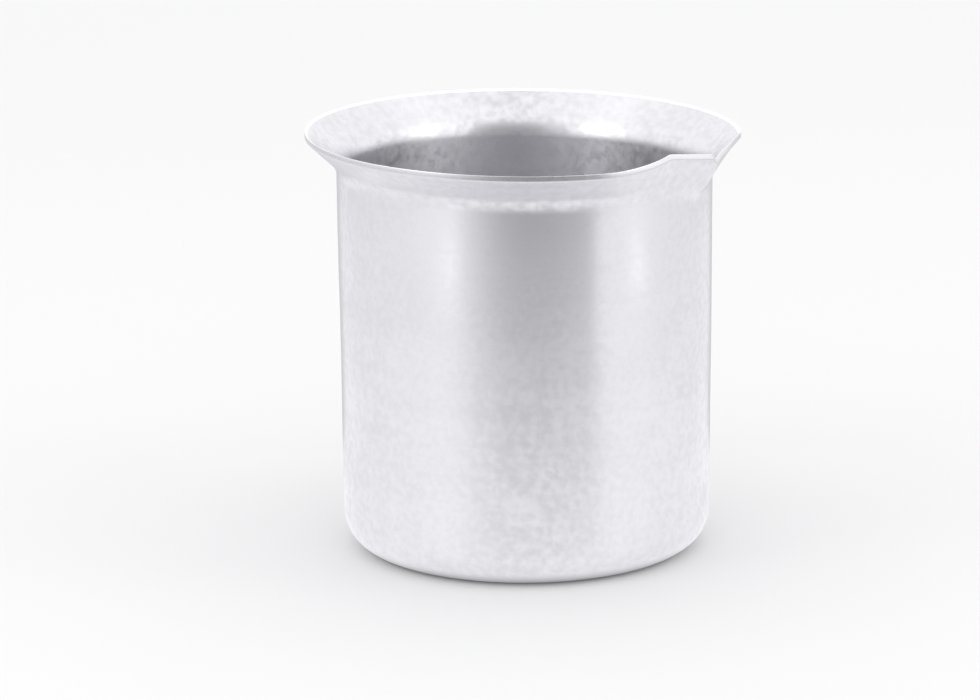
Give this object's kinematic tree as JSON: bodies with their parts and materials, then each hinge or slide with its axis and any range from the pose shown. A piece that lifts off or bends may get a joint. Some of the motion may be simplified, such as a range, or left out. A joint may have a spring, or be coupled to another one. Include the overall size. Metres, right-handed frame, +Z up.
{
  "type": "candle melting pot",
  "caption": "Straight-sided open pot in drawn sheet aluminium, with a flared rim and a V-shaped pouring trough pressed into it.",
  "frame": {"origin": "centre of the flat underside of the base", "axes": "+Z up along the pot's axis, +X out over the pouring trough"},
  "size_m": [0.1375, 0.1392, 0.1374],
  "materials": {
    "aluminium": "satin, spun and lightly brushed round the wall"
  },
  "bodies": {
    "root": {"pot_shell": "aluminium"}
  },
  "joints": []
}
